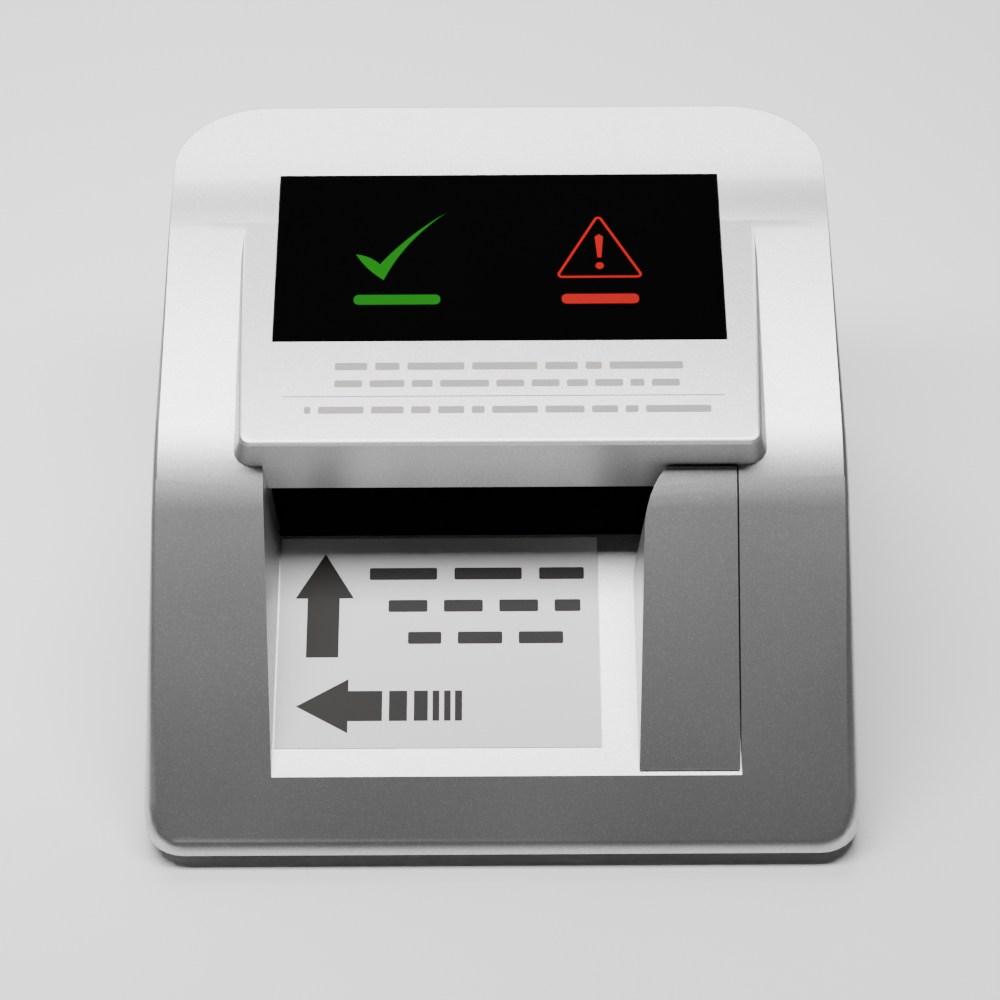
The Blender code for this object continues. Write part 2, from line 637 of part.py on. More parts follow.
PATH_END = 82.0 * MM
PLATE_LEFT = FRAME_LEFT + SHADOW
PLATE_RIGHT = FRAME_RIGHT - SHADOW
FUNNEL_TOP = 13.4 * MM
FUNNEL_START = 7.5 * MM
FUNNEL_LENGTH = 18.0 * MM
ROLLER_PLACES = {"left": ROLLER_LEFT_X, "right": ROLLER_RIGHT_X}
DRIVE_PLACES = {"front": FRONT_DRIVE_AT, "rear": REAR_DRIVE_AT}

lower = node_from("lower_guide_plate",
                  path_box(PLATE_LEFT, PLATE_RIGHT, 2 * FLOOR_REST, PATH_END,
                           -PLATE_THICK - 0.1 * MM, -0.1 * MM), BLACK)
upper_line = [(FUNNEL_START, FUNNEL_TOP), (FUNNEL_LENGTH, NOTE_GAP), (PATH_END, NOTE_GAP),
              (PATH_END, NOTE_GAP + PLATE_THICK), (FUNNEL_LENGTH + MM, NOTE_GAP + PLATE_THICK),
              (FUNNEL_START, FUNNEL_TOP + 2.2 * MM)]
upper = node_from("upper_guide_plate",
                  prism([on_path(u, v) for u, v in upper_line], PLATE_LEFT, PLATE_RIGHT), BLACK)
for place in DRIVE_PLACES.values():
    for roller_x in ROLLER_PLACES.values():
        reach = ROLLER_LENGTH / 2 + MM
        cut(lower, path_box(roller_x - reach, roller_x + reach, place - 6.6 * MM, place + 6.6 * MM,
                            -5 * MM, MM))
        cut(upper, path_box(roller_x - reach, roller_x + reach, place - 5.6 * MM, place + 5.6 * MM,
                            MM, 6 * MM))

# Optical windows and boards between the two pairs of rollers
GLASS_FROM = 46.4 * MM
GLASS_TO = 53.6 * MM
for name, plate, low in (("lower", lower, -PLATE_THICK - 0.1 * MM), ("upper", upper, NOTE_GAP)):
    cut(plate, path_box(-42.4 * MM, 26.4 * MM, GLASS_FROM - SEAT, GLASS_TO + SEAT, low - MM, low + 3 * MM))
    node_from(f"{name}_sensor_glass",
              path_box(-42.1 * MM, 26.1 * MM, GLASS_FROM, GLASS_TO, low + 0.15 * MM,
                       low + PLATE_THICK - 0.15 * MM), CLEAR)
for name, low in (("lower", -4.6 * MM), ("upper", 5.2 * MM)):
    board = node_from(f"{name}_sensor_board",
                      path_box(-43 * MM, 27 * MM, 45 * MM, 55.4 * MM, low, low + 1.2 * MM), BOARD)
    for place in range(5):
        chip_x = (-36 + place * 14) * MM
        join(board, path_box(chip_x - 2 * MM, chip_x + 2 * MM, 48 * MM, 52 * MM,
                             low - (0.9 * MM if name == "upper" else -0.6 * MM),
                             low + (0.6 * MM if name == "upper" else 2.1 * MM)))

HEAD_FROM = 36.2 * MM
HEAD_TO = 42.2 * MM
cut(upper, path_box(-2.6 * MM, 6.6 * MM, HEAD_FROM - SEAT, HEAD_TO + SEAT, MM, 6 * MM))
magnet = node_from("magnetic_head",
                   path_box(-2.3 * MM, 6.3 * MM, HEAD_FROM, HEAD_TO, 1.5 * MM, 11 * MM), STEEL)
join(magnet, path_box(-4.3 * MM, 8.3 * MM, HEAD_FROM - 1.5 * MM, HEAD_TO + 1.5 * MM, 4.2 * MM, 5.4 * MM))

cut(lower, path_box(-14.3 * MM, -5.7 * MM, 8.2 * MM, 13.8 * MM, -5 * MM, MM))
node_from("entry_sensor", path_box(-14 * MM, -6 * MM, 8.5 * MM, 13.5 * MM, -7 * MM, -0.5 * MM), BLACK)


# ---------------------------------------------------------------- side frames, shafts and rollers

shaft_v = ROLLER_PROUD - ROLLER_RADIUS
idler_v = ROLLER_PROUD + SEAT + IDLER_RADIUS
DRIVES = {name: on_path(u, shaft_v) for name, u in DRIVE_PLACES.items()}
IDLERS = {name: on_path(u, idler_v) for name, u in DRIVE_PLACES.items()}

pitch_radius = GEAR_MODULE * GEAR_TEETH / 2
pinion_radius = GEAR_MODULE * PINION_TEETH / 2
gear_gap = pitch_radius + pinion_radius + 0.12 * MM
front_y, front_z = DRIVES["front"]
MOTOR = (front_y + gear_gap * math.cos(MOTOR_ANGLE), front_z + gear_gap * math.sin(MOTOR_ANGLE))

BUSH_OUTER = 4.7 * MM
frame_foot = floor_top + SEAT
frame_outline = [(-4 * MM, frame_foot), (60 * MM, frame_foot), (60 * MM, 59.5 * MM), (41 * MM, 60 * MM),
                 (36 * MM, 57 * MM), (16 * MM, 49 * MM), (4 * MM, 48 * MM), (-4 * MM, 40 * MM)]
for side_name, x0 in (("left", FRAME_LEFT - FRAME_THICK), ("right", FRAME_RIGHT)):
    x1 = x0 + FRAME_THICK
    plate = node_from(f"{side_name}_side_frame", prism(frame_outline, x0, x1), STEEL)
    for name in DRIVE_PLACES:
        cut(plate, rod(x0 - MM, x1 + MM, BUSH_OUTER + SEAT, (0, *DRIVES[name])),
            rod(x0 - MM, x1 + MM, IDLER_AXLE + RUN, (0, *IDLERS[name]), sides=20))
    if side_name == "right":
        cut(plate, rod(x0 - MM, x1 + MM, 3.2 * MM, (0, *MOTOR), sides=24))
        join(plate, block(x1 - 0.4 * MM, x1 + 8 * MM, 50 * MM, 59 * MM, frame_foot, frame_foot + 2 * MM))
    else:
        cut(plate, block(x0 - MM, x1 + MM, 15 * MM, 27 * MM, 12 * MM, 18 * MM))
        join(plate, block(x0 - 8 * MM, x0 + 0.4 * MM, 2 * MM, 14 * MM, frame_foot, frame_foot + 2 * MM))
    flange = -1 if side_name == "left" else 1
    for name in DRIVE_PLACES:
        inner = SHAFT_RADIUS + RUN
        outside_x = x0 if side_name == "left" else x1
        far = outside_x - flange * FRAME_THICK
        near = outside_x + flange * SEAT
        lip = near + flange * MM
        profile = [(lip, inner), (lip, 6.2 * MM), (near, 6.2 * MM), (near, BUSH_OUTER), (far, BUSH_OUTER),
                   (far, inner), (lip, inner)]
        node_from(f"{name}_bush_{side_name}", turned(profile, 32, (0, *DRIVES[name])), BRASS)

SHAFT_LEFT = {"front": -52.5 * MM, "rear": -55.5 * MM}
SHAFT_RIGHT = 46.5 * MM
for name, (y, z) in DRIVES.items():
    profile = [(SHAFT_LEFT[name], 0), (SHAFT_LEFT[name], SHAFT_RADIUS - 0.4 * MM),
               (SHAFT_LEFT[name] + 0.4 * MM, SHAFT_RADIUS), (SHAFT_RIGHT - 0.4 * MM, SHAFT_RADIUS),
               (SHAFT_RIGHT, SHAFT_RADIUS - 0.4 * MM), (SHAFT_RIGHT, 0)]
    node_from(f"{name}_drive_shaft", turned(profile, 32, (0, y, z)), STEEL, (0, y, z))
    for roller, roller_x in ROLLER_PLACES.items():
        half = ROLLER_LENGTH / 2
        node_from(f"{name}_roller_{roller}",
                  ring(roller_x - half, roller_x + half, SHAFT_RADIUS + SEAT, ROLLER_RADIUS, (0, y, z)),
                  RUBBER, (0, y, z))

for name, (y, z) in IDLERS.items():
    profile = [(FRAME_LEFT - FRAME_THICK - MM, 0), (FRAME_LEFT - FRAME_THICK - MM, IDLER_AXLE)]
    for roller_x in ROLLER_PLACES.values():
        for end in (-0.5, 0.5):
            along = roller_x + end * (ROLLER_LENGTH - 2 * MM)
            pair = [(along, IDLER_AXLE), (along, IDLER_RADIUS)]
            profile += pair if end < 0 else pair[::-1]
    axle_end = FRAME_RIGHT + FRAME_THICK + 0.6 * MM
    profile += [(axle_end, IDLER_AXLE), (axle_end, 0)]
    node_from(f"{name}_idler", turned(profile, 24, (0, y, z)), NYLON, (0, y, z))

    # A leaf spring presses the idler's axle down between its two rollers
    u = DRIVE_PLACES[name]
    low = idler_v + IDLER_AXLE + SEAT
    leaf = 0.5 * MM
    seat_v = NOTE_GAP + PLATE_THICK + 0.1 * MM
    line = [(u - 3 * MM, low + MM), (u - MM, low), (u + 2.5 * MM, low), (u + 7 * MM, seat_v),
            (u + 15 * MM, seat_v)]
    outline = line + [(a, b + leaf) for a, b in reversed(line)]
    node_from(f"{name}_idler_spring",
              prism([on_path(a, b) for a, b in outline], -13 * MM, -7 * MM), STEEL)


# ---------------------------------------------------------------- drive

# Half a tooth's outline: share of the pitch angle and height over the pitch circle, in modules
TOOTH = ((-0.36, -1.15), (-0.21, 0.0), (-0.11, 0.9), (0.11, 0.9), (0.21, 0.0), (0.36, -1.15))


def toothed(teeth, centre, x0, x1, turn=0.0):
    """A solid spur gear with straight-flanked teeth and faces square to X."""
    pitch = GEAR_MODULE * teeth / 2
    outline = []
    for tooth in range(teeth):
        for share, radius in TOOTH:
            angle = turn + (tooth + share) * math.tau / teeth
            reach = pitch + radius * GEAR_MODULE
            outline.append((centre[0] + reach * math.cos(angle), centre[1] + reach * math.sin(angle)))
    return prism(outline, x0, x1)


gear_end = GEAR_X + GEAR_THICK
gear = node_from("drive_gear", toothed(GEAR_TEETH, DRIVES["front"], GEAR_X, gear_end, MOTOR_ANGLE),
                 NYLON, (0, *DRIVES["front"]))
cut(gear, rod(GEAR_X - MM, gear_end + MM, SHAFT_RADIUS + SEAT, (0, *DRIVES["front"])))
half_tooth = math.pi / PINION_TEETH
pinion_x = GEAR_X + 0.2 * MM
pinion = node_from("motor_pinion", toothed(PINION_TEETH, MOTOR, pinion_x, pinion_x + GEAR_THICK,
                                           MOTOR_ANGLE + math.pi + half_tooth), BRASS, (0, *MOTOR))
MOTOR_SHAFT = 1.15 * MM
cut(pinion, rod(GEAR_X - MM, gear_end + MM, MOTOR_SHAFT + 0.25 * MM, (0, *MOTOR), sides=20))
motor_right = FRAME_RIGHT - SEAT
motor_left = motor_right - MOTOR_LENGTH
motor_bore = MOTOR_SHAFT + 0.5 * MM
motor_neck = motor_left - 2 * MM
profile = [(motor_neck, motor_bore), (motor_neck, 4 * MM), (motor_left, 4 * MM),
           (motor_left, MOTOR_RADIUS - MM), (motor_left + MM, MOTOR_RADIUS), (motor_right, MOTOR_RADIUS),
           (motor_right, motor_bore), (motor_neck, motor_bore)]
node_from("drive_motor", turned(profile, 32, (0, *MOTOR)), STEEL)
node_from("motor_shaft", rod(motor_left - 3 * MM, gear_end + 1.4 * MM, MOTOR_SHAFT, (0, *MOTOR), sides=20),
          STEEL, (0, *MOTOR))

pulley_left = gear_end + 0.5 * MM
for name, centre in DRIVES.items():
    flange = PULLEY_RADIUS + 1.8 * MM
    bore = SHAFT_RADIUS + SEAT
    x2 = pulley_left + 0.6 * MM
    x3 = x2 + BELT_WIDTH + 0.6 * MM
    x4 = x3 + 0.6 * MM
    profile = [(pulley_left, bore), (pulley_left, flange), (x2, flange), (x2, PULLEY_RADIUS),
               (x3, PULLEY_RADIUS), (x3, flange), (x4, flange), (x4, bore), (pulley_left, bore)]
    node_from(f"{name}_belt_pulley", turned(profile, 40, (0, *centre)), NYLON, (0, *centre))


def belt_outline(radius):
    """The belt's loop round both pulleys, which have the same size."""
    (ya, za), (yb, zb) = DRIVES["rear"], DRIVES["front"]
    lean = math.atan2(za - zb, ya - yb)
    points = []
    for centre, start in ((DRIVES["rear"], lean - math.pi / 2), (DRIVES["front"], lean + math.pi / 2)):
        for t in arc_steps(14):
            angle = start + t * math.pi
            points.append((centre[0] + radius * math.cos(angle), centre[1] + radius * math.sin(angle)))
    return points


belt_left = pulley_left + 0.9 * MM
belt = node_from("drive_belt", prism(belt_outline(PULLEY_RADIUS + SEAT + BELT_THICK), belt_left,
                                     belt_left + BELT_WIDTH), RUBBER)
cut(belt, prism(belt_outline(PULLEY_RADIUS + SEAT), belt_left - MM, belt_left + BELT_WIDTH + MM))

disc_x = SHAFT_LEFT["rear"] + 1.2 * MM
disc = node_from("encoder_disc", ring(disc_x, disc_x + 0.8 * MM, SHAFT_RADIUS + SEAT, ENCODER_RADIUS,
                                      (0, *DRIVES["rear"]), sides=48), BLACK, (0, *DRIVES["rear"]))
ENCODER_SLOTS = 12
for place in range(ENCODER_SLOTS):
    angle = place * math.tau / ENCODER_SLOTS
    notch = block(disc_x - MM, disc_x + 2 * MM, -0.8 * MM, 0.8 * MM, 8 * MM, 10.6 * MM)
    bmesh.ops.rotate(notch, verts=notch.verts, matrix=Matrix.Rotation(angle, 3, "X"))
    bmesh.ops.translate(notch, verts=notch.verts, vec=(0, *DRIVES["rear"]))
    cut(disc, notch)
disc_y, disc_z = DRIVES["rear"]
sensor = node_from("encoder_sensor",
                   block(-58 * MM, FRAME_LEFT - FRAME_THICK - SEAT, disc_y - 4 * MM, disc_y + 4 * MM,
                         disc_z - 19 * MM, disc_z - 7 * MM), BLACK)
cut(sensor, block(disc_x - 1.2 * MM, disc_x + 2 * MM, disc_y - 6 * MM, disc_y + 6 * MM,
                  disc_z - 14 * MM, disc_z))


# ---------------------------------------------------------------- electronics

BOARD_Z = 9.0 * MM
BOARD_THICK = 1.6 * MM
board_rear = panel_outer - RIM_THICK - 1.2 * MM
board_top = BOARD_Z + BOARD_THICK
BOARD_LEFT = -44.0 * MM
board_right = motor_left - 4.7 * MM
main = node_from("main_board",
                 block(BOARD_LEFT, board_right, -2 * MM, board_rear, BOARD_Z, board_top), BOARD)

# Processor, cable header and crystal beside the board's left edge, memory and choke beside its right:
# distance from that edge to the two sides, front, back and height
LEFT_CHIPS = ((4, 18, 18, 32, 1.6), (3, 7, 4, 14, 5.0), (14, 20, 4, 8, 2.4))
RIGHT_CHIPS = ((-10, -3, 10, 18, 1.4), (-16, -4, 34, 40, 6.0))
for edge, chips in ((BOARD_LEFT, LEFT_CHIPS), (board_right, RIGHT_CHIPS)):
    for x0, x1, y0, y1, tall in chips:
        join(main, block(edge + x0 * MM, edge + x1 * MM, y0 * MM, y1 * MM,
                         board_top - SEAT, board_top + tall * MM))
for capacitor_y in (44.0 * MM, 51.0 * MM):
    join(main, rod(board_top - SEAT, board_top + 9 * MM, 2.9 * MM, (-40 * MM, capacitor_y, 0), "Z", 16))
BOARD_SCREW_RADIUS = 1.2 * MM
BOARD_SCREWS = {"front": (-26.0 * MM, 0.9 * MM), "rear": ((JACK_X + PORT_X) / 2, 58.0 * MM)}
for name, (x, y) in BOARD_SCREWS.items():
    join(base, rod(floor_top - 0.5 * MM, BOARD_Z - SEAT, 2.8 * MM, (x, y, 0), "Z", 16))
    cut(base, rod(floor_top, BOARD_Z + MM, BOARD_SCREW_RADIUS + SEAT, (x, y, 0), "Z", 12))
    cut(main, rod(BOARD_Z - MM, board_top + MM, BOARD_SCREW_RADIUS + SEAT, (x, y, 0), "Z", 12))
    profile = [(floor_top + 0.5 * MM, 0), (floor_top + MM, BOARD_SCREW_RADIUS),
               (board_top + 0.2 * MM, BOARD_SCREW_RADIUS),
               (board_top + 0.2 * MM, 2.4 * MM), (board_top + 1.6 * MM, 2.0 * MM), (board_top + 1.6 * MM, 0)]
    node_from(f"board_screw_{name}", turned(profile, 16, (x, y, 0), "Z"), STEEL)

jack_low = board_top + SEAT
jack = node_from("power_jack", block(JACK_X - 4.5 * MM, JACK_X + 4.5 * MM, board_rear - 11 * MM,
                                     panel_outer - RIM_THICK - SEAT, jack_low, jack_low + 11 * MM), BLACK)
join(jack, rod(board_rear - 2 * MM, panel_outer - 0.2 * MM, 4.3 * MM, (JACK_X, 0, CONNECTOR_Z), "Y", 24))
cut(jack, rod(board_rear - 8 * MM, panel_outer + MM, 2.9 * MM, (JACK_X, 0, CONNECTOR_Z), "Y", 24))
join(jack, rod(board_rear - 9 * MM, panel_outer - 1.6 * MM, 1.0 * MM, (JACK_X, 0, CONNECTOR_Z), "Y", 12))
port_left = PORT_X - 4.3 * MM
port_right = PORT_X + 4.3 * MM
port = node_from("update_port", block(port_left, port_right, board_rear - 8 * MM, panel_outer - 0.2 * MM,
                                      CONNECTOR_Z - 2.3 * MM, CONNECTOR_Z + 2.3 * MM), STEEL)
join(port, block(port_left, port_right, board_rear - 8 * MM, board_rear - 2 * MM,
                 jack_low, CONNECTOR_Z))
cut(port, block(PORT_X - 3.6 * MM, PORT_X + 3.6 * MM, board_rear - 6 * MM, panel_outer + MM,
                CONNECTOR_Z - 1.6 * MM, CONNECTOR_Z + 1.6 * MM))

BUZZER_RADIUS = 4.6 * MM
node_from("buzzer",
          rod(board_top + SEAT, board_top + 6 * MM, BUZZER_RADIUS, (board_right - 10 * MM, 27 * MM, 0),
              "Z", 24), BLACK)

# Flat cable from the main board, up outside the left frame, to the display board
CABLE_THICK = 0.8 * MM
CABLE_X = -58.4 * MM
cable_low = board_top + 4.4 * MM
cable_line = [(-45 * MM, cable_low), (-55 * MM, cable_low), (CABLE_X, cable_low + 2.6 * MM),
              (CABLE_X, 48 * MM), (-56 * MM, 54 * MM), (-43 * MM, 55.4 * MM)]
back = []
for i, (x, z) in enumerate(cable_line):
    before = Vector(cable_line[max(i - 1, 0)])
    after = Vector(cable_line[min(i + 1, len(cable_line) - 1)])
    normal = (after - before).normalized().orthogonal()
    back.append((x + normal.x * CABLE_THICK, z + normal.y * CABLE_THICK))
node_from("display_cable", prism(cable_line + back[::-1], 16 * MM, 26 * MM, "Y"), WHITE)


# ---------------------------------------------------------------- power switch

SWITCH_TILT = math.radians(8.0)
bezel = node_from("switch_housing",
                  block(SWITCH_X - 10.6 * MM, SWITCH_X + 10.6 * MM, panel_outer + 0.2 * MM,
                        panel_outer + 1.8 * MM, SWITCH_Z - 7.4 * MM, SWITCH_Z + 7.4 * MM), BLACK)
join(bezel, block(SWITCH_X - 9.3 * MM, SWITCH_X + 9.3 * MM, panel_outer - 5.6 * MM, panel_outer + MM,
                  SWITCH_Z - 6.1 * MM, SWITCH_Z + 6.1 * MM))
cut(bezel, block(SWITCH_X - 8.3 * MM, SWITCH_X + 8.3 * MM, panel_outer - 4.8 * MM, panel_outer + 3 * MM,
                 SWITCH_Z - 5.0 * MM, SWITCH_Z + 5.0 * MM))
PIVOT_Y = panel_outer - 2.2 * MM
rocker_line = []
for x, y in ((-7.6, 0.4), (-7.6, 3.0), (0, 2.0), (7.6, 3.0), (7.6, 0.4), (2.0, -1.4), (-2.0, -1.4)):
    turn = -SWITCH_TILT
    rocker_line.append((SWITCH_X + (x * math.cos(turn) - y * math.sin(turn)) * MM,
                        PIVOT_Y + (x * math.sin(turn) + y * math.cos(turn)) * MM))
node_from("power_rocker", prism(rocker_line, SWITCH_Z - 4.6 * MM, SWITCH_Z + 4.6 * MM, "Z"), BLACK,
          (SWITCH_X, PIVOT_Y, SWITCH_Z))
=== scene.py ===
import json
import math

import bmesh
import bpy
from mathutils import Matrix, Vector


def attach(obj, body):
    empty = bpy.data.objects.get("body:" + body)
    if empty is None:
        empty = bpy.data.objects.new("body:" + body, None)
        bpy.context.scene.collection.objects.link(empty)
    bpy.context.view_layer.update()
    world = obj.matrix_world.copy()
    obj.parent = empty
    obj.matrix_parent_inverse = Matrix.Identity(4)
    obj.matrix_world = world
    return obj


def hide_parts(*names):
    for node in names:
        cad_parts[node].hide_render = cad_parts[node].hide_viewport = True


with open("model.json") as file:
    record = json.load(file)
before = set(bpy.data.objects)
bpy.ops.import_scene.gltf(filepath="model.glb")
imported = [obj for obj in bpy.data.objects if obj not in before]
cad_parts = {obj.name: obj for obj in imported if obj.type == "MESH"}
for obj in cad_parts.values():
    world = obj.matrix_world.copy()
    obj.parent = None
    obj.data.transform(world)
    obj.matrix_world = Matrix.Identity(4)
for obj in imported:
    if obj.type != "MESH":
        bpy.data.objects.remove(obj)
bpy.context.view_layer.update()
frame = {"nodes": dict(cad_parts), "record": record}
MM = 0.001

# ---------------------------------------------------------------- view and studio
# A long lens looks down at 45 degrees from straight in front. A narrow soft lamp hangs close over
# the unit and a broad one stands behind it, clear of the window's mirror direction, over a pale
# table.

camera = bpy.data.cameras.new("camera")
camera.lens = 93.6
camera.sensor_width = 36.0
camera.shift_x = 0.0005
viewer = bpy.data.objects.new("camera", camera)
viewer.location = (-0.0002, -0.3721, 0.3998)
tilt = Matrix.Rotation(math.radians(45.0), 3, "X")
roll = Matrix.Rotation(math.radians(-0.3), 3, "Z")
viewer.rotation_euler = (tilt @ roll).to_euler()
bpy.context.scene.collection.objects.link(viewer)
bpy.context.scene.camera = viewer


def soft_lamp(name, place, aim, size, power):
    lamp = bpy.data.lights.new(name, "AREA")
    lamp.shape = "RECTANGLE"
    lamp.size, lamp.size_y = size
    lamp.energy = power
    made = bpy.data.objects.new(name, lamp)
    made.location = place
    made.rotation_euler = (Vector(aim) - Vector(place)).to_track_quat("-Z", "Y").to_euler()
    bpy.context.scene.collection.objects.link(made)


soft_lamp("over_lamp", (-0.06, 0.010, 0.33), (-0.06, 0.0101, 0.0), (0.46, 0.09), 2.3)
soft_lamp("back_lamp", (-0.12, 0.66, 0.60), (0.0, 0.03, 0.05), (0.90, 0.40), 9.5)

world = bpy.data.worlds.new("studio")
world.use_nodes = True
world.node_tree.nodes["Background"].inputs["Color"].default_value = (1.0, 1.0, 1.0, 1.0)
world.node_tree.nodes["Background"].inputs["Strength"].default_value = 0.025
bpy.context.scene.world = world

table_shape = bmesh.new()
bmesh.ops.create_grid(table_shape, x_segments=1, y_segments=1, size=3.0)
table_mesh = bpy.data.meshes.new("table")
table_shape.to_mesh(table_mesh)
table_shape.free()
table = bpy.data.objects.new("table", table_mesh)
bpy.context.scene.collection.objects.link(table)
table_finish = bpy.data.materials.new("pale_table")
table_finish.use_nodes = True
table_shader = table_finish.node_tree.nodes["Principled BSDF"]
table_shader.inputs["Base Color"].default_value = (0.93, 0.93, 0.93, 1.0)
table_shader.inputs["Roughness"].default_value = 0.7
table_mesh.materials.append(table_finish)


# ---------------------------------------------------------------- silver case
# The case is one ABS moulding sprayed with silver metallic paint: flakes that glint in a fine
# speckle, under a satin skin with slight orange peel. Its moulded edges are all slightly rounded.

def mottle_group():
    """Two scales of uneven tone over a surface, and a fine relief for the Bump node."""
    group = bpy.data.node_groups.new("mottle", "ShaderNodeTree")
    for name, kind, value in (("Broad", "NodeSocketFloat", 40.0), ("Fine", "NodeSocketFloat", 3000.0),
                              ("Amount", "NodeSocketFloat", 0.1)):
        socket = group.interface.new_socket(name, in_out="INPUT", socket_type=kind)
        socket.default_value = value
    for name in ("Tone", "Relief"):
        group.interface.new_socket(name, in_out="OUTPUT", socket_type="NodeSocketFloat")
    nodes, links = group.nodes, group.links
    entry = nodes.new("NodeGroupInput")
    leave = nodes.new("NodeGroupOutput")
    place = nodes.new("ShaderNodeTexCoord")
    broad = nodes.new("ShaderNodeTexNoise")
    fine = nodes.new("ShaderNodeTexNoise")
    for noise, scale in ((broad, "Broad"), (fine, "Fine")):
        noise.inputs["Detail"].default_value = 3.0
        links.new(place.outputs["Object"], noise.inputs["Vector"])
        links.new(entry.outputs[scale], noise.inputs["Scale"])
    mix = nodes.new("ShaderNodeMath")
    mix.operation = "ADD"
    links.new(broad.outputs["Fac"], mix.inputs[0])
    links.new(fine.outputs["Fac"], mix.inputs[1])
    centre = nodes.new("ShaderNodeMath")
    centre.operation = "SUBTRACT"
    links.new(mix.outputs[0], centre.inputs[0])
    centre.inputs[1].default_value = 1.0
    scale = nodes.new("ShaderNodeMath")
    scale.operation = "MULTIPLY_ADD"
    links.new(centre.outputs[0], scale.inputs[0])
    links.new(entry.outputs["Amount"], scale.inputs[1])
    scale.inputs[2].default_value = 0.5
    links.new(scale.outputs[0], leave.inputs["Tone"])
    links.new(fine.outputs["Fac"], leave.inputs["Relief"])
    return group


MOTTLE = mottle_group()


def finish(name, dark, light, rough, metal=0.0, broad=60.0, fine=2500.0, amount=0.9, relief=0.15,
           depth=0.02 * MM, coat=0.0):
    """A material whose colour and gloss vary between two values, with a fine relief."""
    made = bpy.data.materials.new(name)
    made.use_nodes = True
    nodes, links = made.node_tree.nodes, made.node_tree.links
    shader = nodes["Principled BSDF"]
    shader.inputs["Metallic"].default_value = metal
    shader.inputs["Coat Weight"].default_value = coat
    shader.inputs["Coat Roughness"].default_value = 0.12
    spread = nodes.new("ShaderNodeGroup")
    spread.node_tree = MOTTLE
    spread.inputs["Broad"].default_value = broad
    spread.inputs["Fine"].default_value = fine
    spread.inputs["Amount"].default_value = amount
    tint = nodes.new("ShaderNodeMix")
    tint.data_type = "RGBA"
    tint.inputs["A"].default_value = (*dark, 1.0)
    tint.inputs["B"].default_value = (*light, 1.0)
    links.new(spread.outputs["Tone"], tint.inputs["Factor"])
    links.new(tint.outputs["Result"], shader.inputs["Base Color"])
    gloss = nodes.new("ShaderNodeMapRange")
    gloss.inputs["To Min"].default_value = rough[0]
    gloss.inputs["To Max"].default_value = rough[1]
    links.new(spread.outputs["Tone"], gloss.inputs["Value"])
    links.new(gloss.outputs["Result"], shader.inputs["Roughness"])
    bump = nodes.new("ShaderNodeBump")
    bump.inputs["Strength"].default_value = relief
    bump.inputs["Distance"].default_value = depth
    links.new(spread.outputs["Relief"], bump.inputs["Height"])
    links.new(bump.outputs["Normal"], shader.inputs["Normal"])
    return made


def silver_paint():
    """Metallic paint: glinting flakes from small cells, and orange peel from a slow noise."""
    made = finish("silver_paint", (0.50, 0.50, 0.505), (0.60, 0.60, 0.605), (0.36, 0.44), metal=0.97,
                  broad=25.0, fine=3200.0, amount=0.5, relief=0.14, depth=0.03 * MM)
    nodes, links = made.node_tree.nodes, made.node_tree.links
    shader = nodes["Principled BSDF"]
    place = nodes.new("ShaderNodeTexCoord")
    cells = nodes.new("ShaderNodeTexVoronoi")
    cells.inputs["Scale"].default_value = 5200.0
    links.new(place.outputs["Object"], cells.inputs["Vector"])
    split = nodes.new("ShaderNodeSeparateColor")
    links.new(cells.outputs["Color"], split.inputs["Color"])
    glint = nodes.new("ShaderNodeMapRange")
    glint.inputs["From Min"].default_value = 0.72
    glint.inputs["From Max"].default_value = 1.0
    links.new(split.outputs["Red"], glint.inputs["Value"])
    flakes = nodes.new("ShaderNodeMix")
    flakes.data_type = "RGBA"
    flakes.blend_type = "MIX"
    flakes.inputs["B"].default_value = (0.70, 0.70, 0.71, 1.0)
    base = shader.inputs["Base Color"].links[0].from_socket
    links.new(base, flakes.inputs["A"])
    links.new(glint.outputs["Result"], flakes.inputs["Factor"])
    links.new(flakes.outputs["Result"], shader.inputs["Base Color"])
    return made


SILVER = silver_paint()


def place_piece(name, shape, material, body="housing", smooth=30.0):
    """Links a finished bmesh as a piece that rides on a body."""
    bmesh.ops.recalc_face_normals(shape, faces=shape.faces)
    mesh = bpy.data.meshes.new(name)
    shape.to_mesh(mesh)
    shape.free()
    mesh.shade_smooth()
    mesh.set_sharp_from_angle(angle=math.radians(smooth))
    mesh.materials.append(material)
    made = bpy.data.objects.new(name, mesh)
    bpy.context.scene.collection.objects.link(made)
    even = made.modifiers.new("even_normals", "WEIGHTED_NORMAL")
    even.keep_sharp = True
    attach(made, body)
    return made


def moulded_copy(node, name, material, edge, segments=2, angle=32.0, body="housing"):
    """The CAD node's own shape with its sharp edges rounded, which then stands for the node."""
    shape = bmesh.new()
    shape.from_mesh(frame["nodes"][node].data)
    bmesh.ops.remove_doubles(shape, verts=shape.verts, dist=2e-6)
    bmesh.ops.dissolve_limit(shape, angle_limit=math.radians(0.6), verts=shape.verts, edges=shape.edges)
    sharp = [e for e in shape.edges
             if len(e.link_faces) == 2 and e.calc_face_angle(0.0) > math.radians(angle)]
    bmesh.ops.bevel(shape, geom=sharp, offset=edge, offset_type="OFFSET", segments=segments,
                    profile=0.5, affect="EDGES", clamp_overlap=True, material=-1)
    piece = place_piece(name, shape, material, body)
    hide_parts(node)
    return piece


moulded_copy("top_cover", "case_shell", SILVER, 0.35 * MM, angle=23.5)


# ---------------------------------------------------------------- width guide
# A separate moulding in the same paint, clipped into the right side of the tray. It lifts out
# square to the head, so it has its own rounded edges and a fine dark joint round it.

moulded_copy("width_guide", "width_guide_shell", SILVER, 0.4 * MM, body="width_guide")


# ---------------------------------------------------------------- display window
# A polished smoked acrylic plate set just below the head's surface. The marks behind it are
# screen-printed: a green tick over a green bar, and a red warning triangle over a red bar.

